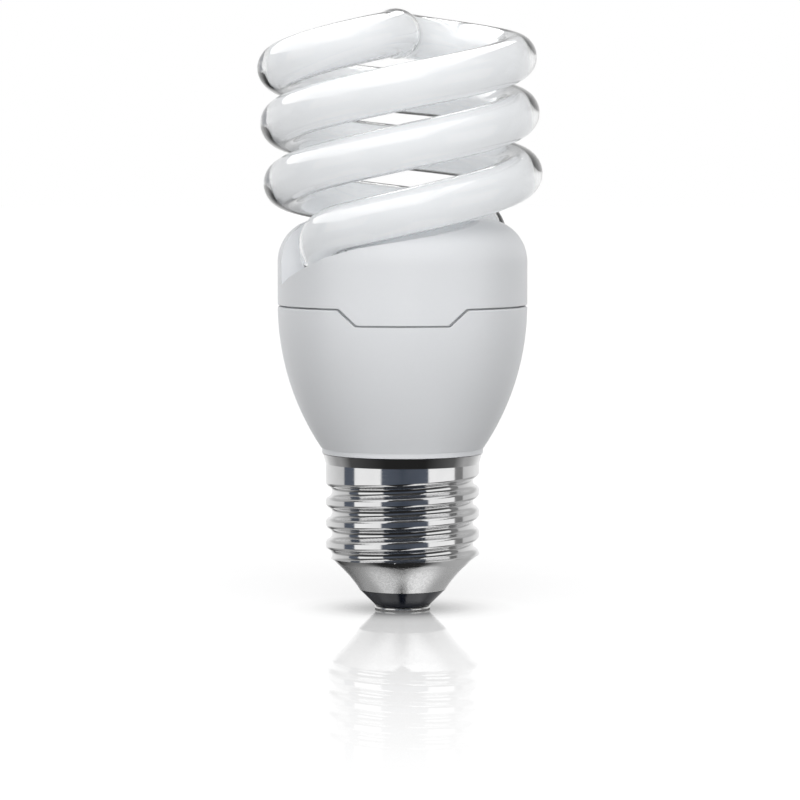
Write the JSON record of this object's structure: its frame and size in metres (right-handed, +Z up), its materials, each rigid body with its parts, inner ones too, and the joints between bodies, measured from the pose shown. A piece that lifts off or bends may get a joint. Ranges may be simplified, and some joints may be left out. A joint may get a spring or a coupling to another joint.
{
  "type": "spiral compact fluorescent bulb",
  "caption": "Spiral compact fluorescent lamp: a double-helix glass tube on a two-part white plastic ballast housing with an E27 screw cap.",
  "frame": {"origin": "centre of the flat face of the end contact, where the lamp stands", "axes": "+Z up the lamp axis from the cap to the tube; -Y is the front, with the dip in the housing seam; +X to the right seen from the front"},
  "size_m": [0.0486, 0.0476, 0.1027],
  "materials": {
    "coated_glass": "clear glass over a white inner coating",
    "cement": "matt",
    "white_plastic": "satin moulded",
    "cap_metal": "bright rolled sheet, satin at the cone",
    "black_insulator": "glossy black",
    "contact_metal": "bright",
    "tinned_wire": "tinned",
    "wire_sleeve": "silicone sleeve",
    "resistor_body": "lacquered",
    "capacitor_sleeve": "shrink sleeve",
    "ferrite": "sintered",
    "bobbin_plastic": "moulded",
    "copper_winding": "enamelled copper wire",
    "component_black": "moulded epoxy",
    "film_capacitor": "dipped film capacitor",
    "disc_ceramic": "dipped disc",
    "board_laminate": "paper laminate"
  },
  "bodies": {
    "root": {"ballast_housing": "white_plastic", "bulk_capacitor": "capacitor_sleeve", "centre_contact": "contact_metal", "choke_bobbin": "bobbin_plastic", "choke_core": "ferrite", "choke_winding": "copper_winding", "circuit_board": "board_laminate", "coupling_capacitor": "film_capacitor", "discharge_tube": "coated_glass", "drive_ring_core": "ferrite", "drive_ring_winding_1": "copper_winding", "drive_ring_winding_2": "copper_winding", "drive_ring_winding_3": "copper_winding", "filter_drum": "ferrite", "filter_winding": "copper_winding", "fusible_resistor": "resistor_body", "insulator": "black_insulator", "live_wire": "wire_sleeve", "neutral_wire": "wire_sleeve", "rectifier_diode_1": "component_black", "rectifier_diode_2": "component_black", "rectifier_diode_3": "component_black", "rectifier_diode_4": "component_black", "resistor_1": "resistor_body", "resistor_2": "resistor_body", "resistor_3": "resistor_body", "resistor_4": "resistor_body", "resonant_capacitor": "film_capacitor", "screw_shell": "cap_metal", "snubber_capacitor": "disc_ceramic", "transistor_high": "component_black", "transistor_low": "component_black", "tube_cement_back": "cement", "tube_cement_front": "cement", "tube_cover": "white_plastic", "tube_lead_1": "tinned_wire", "tube_lead_2": "tinned_wire", "tube_lead_3": "tinned_wire", "tube_lead_4": "tinned_wire", "wrap_pins": "tinned_wire"}
  },
  "joints": []
}
